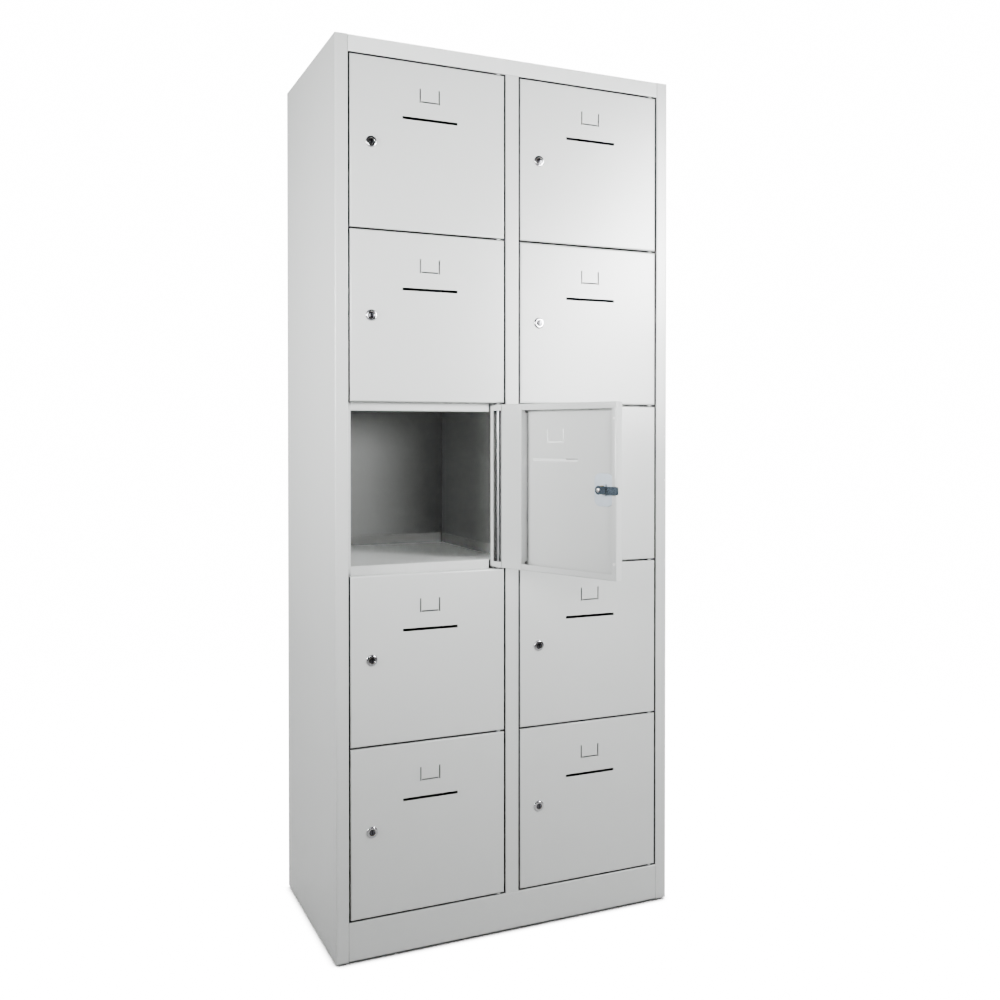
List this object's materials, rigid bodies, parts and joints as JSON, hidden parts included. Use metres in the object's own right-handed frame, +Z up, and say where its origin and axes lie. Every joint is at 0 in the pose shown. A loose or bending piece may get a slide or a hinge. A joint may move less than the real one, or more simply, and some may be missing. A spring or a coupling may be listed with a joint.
{
  "type": "parcel locker",
  "caption": "Upright steel parcel locker in light grey: two columns of hinged doors, each with a letter slot, a card holder and a cam lock, one door standing open.",
  "frame": {"origin": "on the floor under the middle of the cabinet body, doors closed or open", "axes": "+Z up along the height, the doors face -Y, +X to the right seen from the front"},
  "size_m": [0.79, 0.7423, 1.9],
  "materials": {
    "grey_paint": "fine-texture satin powder coat",
    "hinge_steel": "bright drawn rod and painted plates",
    "foot_steel": "zinc plated",
    "lock_chrome": "polished plating",
    "cam_zinc": "blue zinc plated",
    "white_rubber": "soft matt"
  },
  "bodies": {
    "cabinet": {"left_side_panel": "grey_paint", "right_side_panel": "grey_paint", "top_panel": "grey_paint", "base_tray": "grey_paint", "back_panel": "grey_paint", "centre_post": "grey_paint", "centre_partition": "grey_paint", "shelves": "grey_paint", "levelling_feet": "foot_steel", "hinge_fittings": "hinge_steel"},
    "left_1_door": {"left_1_door": "grey_paint", "left_1_channel": "grey_paint", "left_1_buffers": "white_rubber", "left_1_lock": "lock_chrome"},
    "left_1_cam": {"left_1_cam": "cam_zinc"},
    "left_2_door": {"left_2_door": "grey_paint", "left_2_channel": "grey_paint", "left_2_buffers": "white_rubber", "left_2_lock": "lock_chrome"},
    "left_2_cam": {"left_2_cam": "cam_zinc"},
    "left_3_door": {"left_3_door": "grey_paint", "left_3_channel": "grey_paint", "left_3_buffers": "white_rubber", "left_3_lock": "lock_chrome"},
    "left_3_cam": {"left_3_cam": "cam_zinc"},
    "left_4_door": {"left_4_door": "grey_paint", "left_4_channel": "grey_paint", "left_4_buffers": "white_rubber", "left_4_lock": "lock_chrome"},
    "left_4_cam": {"left_4_cam": "cam_zinc"},
    "left_5_door": {"left_5_door": "grey_paint", "left_5_channel": "grey_paint", "left_5_buffers": "white_rubber", "left_5_lock": "lock_chrome"},
    "left_5_cam": {"left_5_cam": "cam_zinc"},
    "right_1_door": {"right_1_door": "grey_paint", "right_1_channel": "grey_paint", "right_1_buffers": "white_rubber", "right_1_lock": "lock_chrome"},
    "right_1_cam": {"right_1_cam": "cam_zinc"},
    "right_2_door": {"right_2_door": "grey_paint", "right_2_channel": "grey_paint", "right_2_buffers": "white_rubber", "right_2_lock": "lock_chrome"},
    "right_2_cam": {"right_2_cam": "cam_zinc"},
    "right_3_door": {"right_3_door": "grey_paint", "right_3_channel": "grey_paint", "right_3_buffers": "white_rubber", "right_3_lock": "lock_chrome"},
    "right_3_cam": {"right_3_cam": "cam_zinc"},
    "right_4_door": {"right_4_door": "grey_paint", "right_4_channel": "grey_paint", "right_4_buffers": "white_rubber", "right_4_lock": "lock_chrome"},
    "right_4_cam": {"right_4_cam": "cam_zinc"},
    "right_5_door": {"right_5_door": "grey_paint", "right_5_channel": "grey_paint", "right_5_buffers": "white_rubber", "right_5_lock": "lock_chrome"},
    "right_5_cam": {"right_5_cam": "cam_zinc"}
  },
  "joints": [
    {"name": "left_1_door_hinge", "type": "hinge", "parent": "cabinet", "child": "left_1_door", "pos_m": [-0.031, -0.206, 1.6865], "axis": [0, 0, 1], "range_deg": [0, 120]},
    {"name": "left_1_cam_turn", "type": "hinge", "parent": "left_1_door", "child": "left_1_cam", "pos_m": [-0.3185, -0.204, 1.6875], "axis": [0, 1, 0], "range_deg": [0, 90]},
    {"name": "left_2_door_hinge", "type": "hinge", "parent": "cabinet", "child": "left_2_door", "pos_m": [-0.031, -0.206, 1.331], "axis": [0, 0, 1], "range_deg": [0, 120]},
    {"name": "left_2_cam_turn", "type": "hinge", "parent": "left_2_door", "child": "left_2_cam", "pos_m": [-0.3185, -0.204, 1.332], "axis": [0, 1, 0], "range_deg": [0, 90]},
    {"name": "left_3_door_hinge", "type": "hinge", "parent": "cabinet", "child": "left_3_door", "pos_m": [-0.031, -0.206, 0.9755], "axis": [0, 0, 1], "range_deg": [-112, 8]},
    {"name": "left_3_cam_turn", "type": "hinge", "parent": "left_3_door", "child": "left_3_cam", "pos_m": [0.07484, -0.47331, 0.9765], "axis": [-0.9272, -0.3746, 0], "range_deg": [-90, 0]},
    {"name": "left_4_door_hinge", "type": "hinge", "parent": "cabinet", "child": "left_4_door", "pos_m": [-0.031, -0.206, 0.62], "axis": [0, 0, 1], "range_deg": [0, 120]},
    {"name": "left_4_cam_turn", "type": "hinge", "parent": "left_4_door", "child": "left_4_cam", "pos_m": [-0.3185, -0.204, 0.621], "axis": [0, 1, 0], "range_deg": [0, 90]},
    {"name": "left_5_door_hinge", "type": "hinge", "parent": "cabinet", "child": "left_5_door", "pos_m": [-0.031, -0.206, 0.2645], "axis": [0, 0, 1], "range_deg": [0, 120]},
    {"name": "left_5_cam_turn", "type": "hinge", "parent": "left_5_door", "child": "left_5_cam", "pos_m": [-0.3185, -0.204, 0.2655], "axis": [0, 1, 0], "range_deg": [0, 90]},
    {"name": "right_1_door_hinge", "type": "hinge", "parent": "cabinet", "child": "right_1_door", "pos_m": [0.352, -0.206, 1.6865], "axis": [0, 0, 1], "range_deg": [0, 120]},
    {"name": "right_1_cam_turn", "type": "hinge", "parent": "right_1_door", "child": "right_1_cam", "pos_m": [0.0645, -0.204, 1.6875], "axis": [0, 1, 0], "range_deg": [0, 90]},
    {"name": "right_2_door_hinge", "type": "hinge", "parent": "cabinet", "child": "right_2_door", "pos_m": [0.352, -0.206, 1.331], "axis": [0, 0, 1], "range_deg": [0, 120]},
    {"name": "right_2_cam_turn", "type": "hinge", "parent": "right_2_door", "child": "right_2_cam", "pos_m": [0.0645, -0.204, 1.332], "axis": [0, 1, 0], "range_deg": [0, 90]},
    {"name": "right_3_door_hinge", "type": "hinge", "parent": "cabinet", "child": "right_3_door", "pos_m": [0.352, -0.206, 0.9755], "axis": [0, 0, 1], "range_deg": [0, 120]},
    {"name": "right_3_cam_turn", "type": "hinge", "parent": "right_3_door", "child": "right_3_cam", "pos_m": [0.0645, -0.204, 0.9765], "axis": [0, 1, 0], "range_deg": [0, 90]},
    {"name": "right_4_door_hinge", "type": "hinge", "parent": "cabinet", "child": "right_4_door", "pos_m": [0.352, -0.206, 0.62], "axis": [0, 0, 1], "range_deg": [0, 120]},
    {"name": "right_4_cam_turn", "type": "hinge", "parent": "right_4_door", "child": "right_4_cam", "pos_m": [0.0645, -0.204, 0.621], "axis": [0, 1, 0], "range_deg": [0, 90]},
    {"name": "right_5_door_hinge", "type": "hinge", "parent": "cabinet", "child": "right_5_door", "pos_m": [0.352, -0.206, 0.2645], "axis": [0, 0, 1], "range_deg": [0, 120]},
    {"name": "right_5_cam_turn", "type": "hinge", "parent": "right_5_door", "child": "right_5_cam", "pos_m": [0.0645, -0.204, 0.2655], "axis": [0, 1, 0], "range_deg": [0, 90]}
  ]
}
